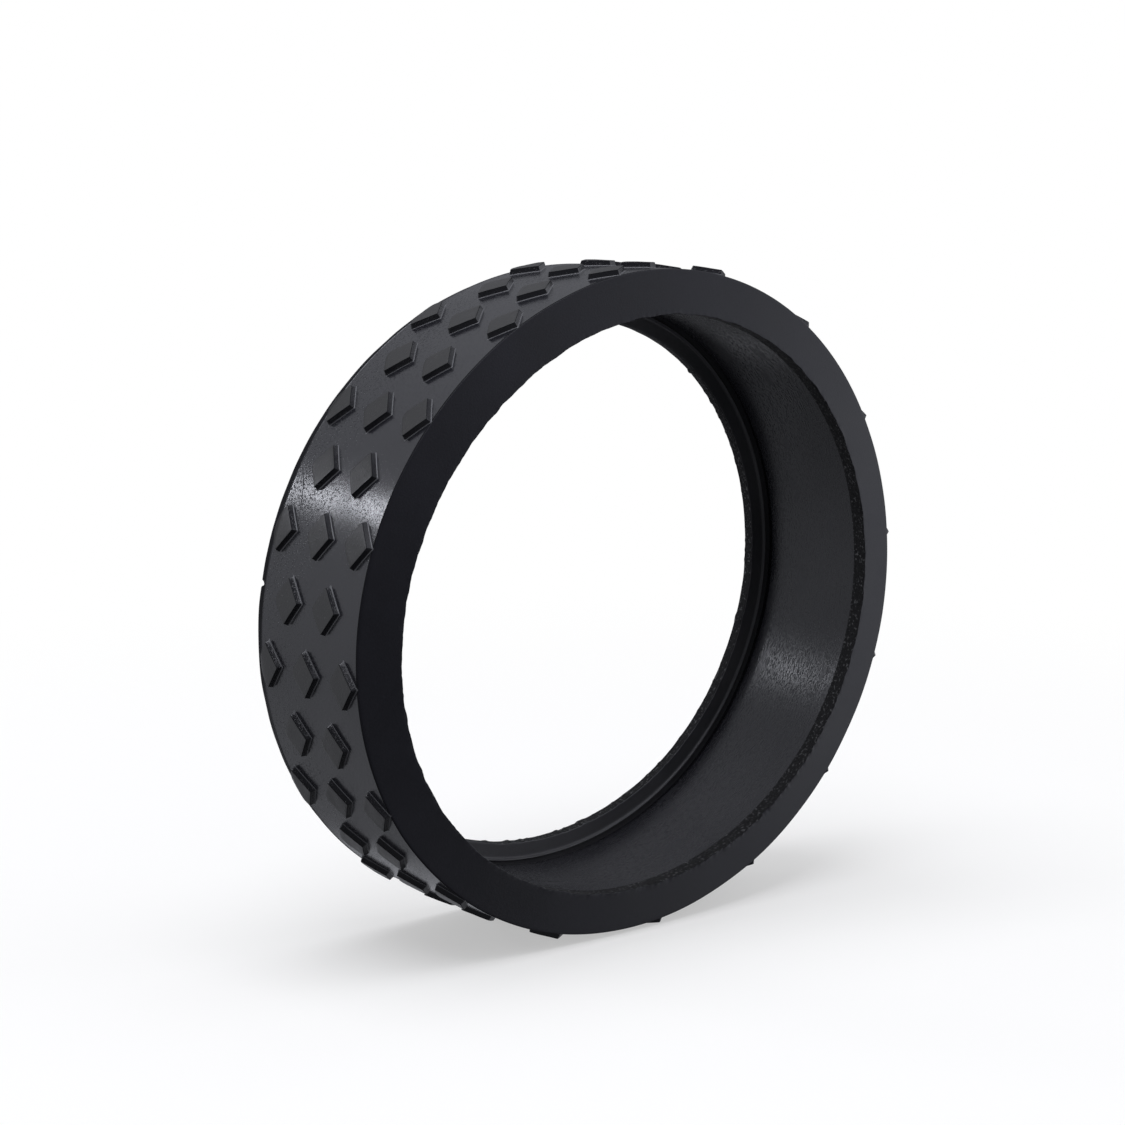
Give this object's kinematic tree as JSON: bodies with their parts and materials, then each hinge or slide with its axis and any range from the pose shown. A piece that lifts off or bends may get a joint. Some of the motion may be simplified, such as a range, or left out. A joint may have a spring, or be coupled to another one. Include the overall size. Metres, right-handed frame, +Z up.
{
  "type": "rubber tread ring",
  "caption": "Moulded black rubber tread ring for a wheel, with staggered raised diamond lugs, a coned front face and an inward rear retaining lip.",
  "frame": {"origin": "centre of the ring, on its axis, halfway between the front nose and the rear edge", "axes": "+Y along the ring's axis towards the rear lip, +Z up, front face looking along -Y"},
  "size_m": [0.1526, 0.041, 0.1526],
  "materials": {
    "rubber_tread": "satin moulded black rubber with a fine mould grain",
    "rubber_bore": "smooth satin black rubber, faintly streaked round the bore",
    "rubber_face": "matt blue-black moulded rubber"
  },
  "bodies": {
    "root": {"carcass_band": "rubber_bore", "front_sidewall": "rubber_face", "rear_shoulder": "rubber_tread", "rear_lip": "rubber_face", "lug_row_01": "rubber_tread", "lug_row_02": "rubber_tread", "lug_row_03": "rubber_tread", "lug_row_04": "rubber_tread", "lug_row_05": "rubber_tread", "lug_row_06": "rubber_tread", "lug_row_07": "rubber_tread", "lug_row_08": "rubber_tread", "lug_row_09": "rubber_tread", "lug_row_10": "rubber_tread", "lug_row_11": "rubber_tread", "lug_row_12": "rubber_tread", "lug_row_13": "rubber_tread", "lug_row_14": "rubber_tread", "lug_row_15": "rubber_tread", "lug_row_16": "rubber_tread", "lug_row_17": "rubber_tread", "lug_row_18": "rubber_tread", "lug_row_19": "rubber_tread", "lug_row_20": "rubber_tread", "lug_row_21": "rubber_tread", "lug_row_22": "rubber_tread", "lug_row_23": "rubber_tread", "lug_row_24": "rubber_tread", "lug_row_25": "rubber_tread", "lug_row_26": "rubber_tread", "lug_row_27": "rubber_tread", "lug_row_28": "rubber_tread", "lug_row_29": "rubber_tread", "lug_row_30": "rubber_tread", "lug_row_31": "rubber_tread", "lug_row_32": "rubber_tread"}
  },
  "joints": []
}
